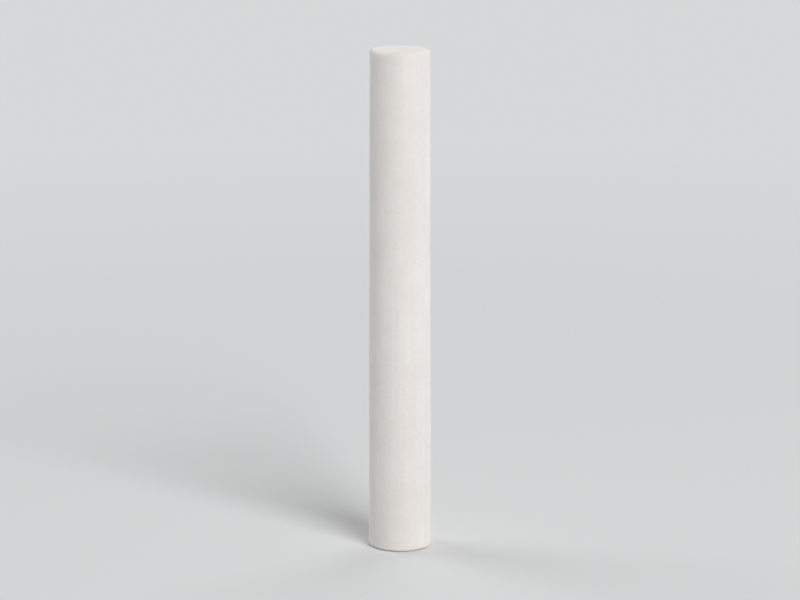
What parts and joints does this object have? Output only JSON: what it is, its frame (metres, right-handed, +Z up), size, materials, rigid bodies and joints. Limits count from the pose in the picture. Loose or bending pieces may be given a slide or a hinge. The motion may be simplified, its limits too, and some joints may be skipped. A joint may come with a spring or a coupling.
{
  "type": "chalk stick",
  "caption": "Round moulded stick of white blackboard chalk, slightly tapered, with flat ends and softened rims, for writing by hand or in a holder.",
  "frame": {"origin": "centre of the wide end face, which the stick stands on", "axes": "+Z up the stick's axis, from the wide end to the narrow end"},
  "size_m": [0.01, 0.01, 0.08],
  "materials": {
    "chalk": "matte"
  },
  "bodies": {
    "root": {"chalk_stick": "chalk"}
  },
  "joints": []
}
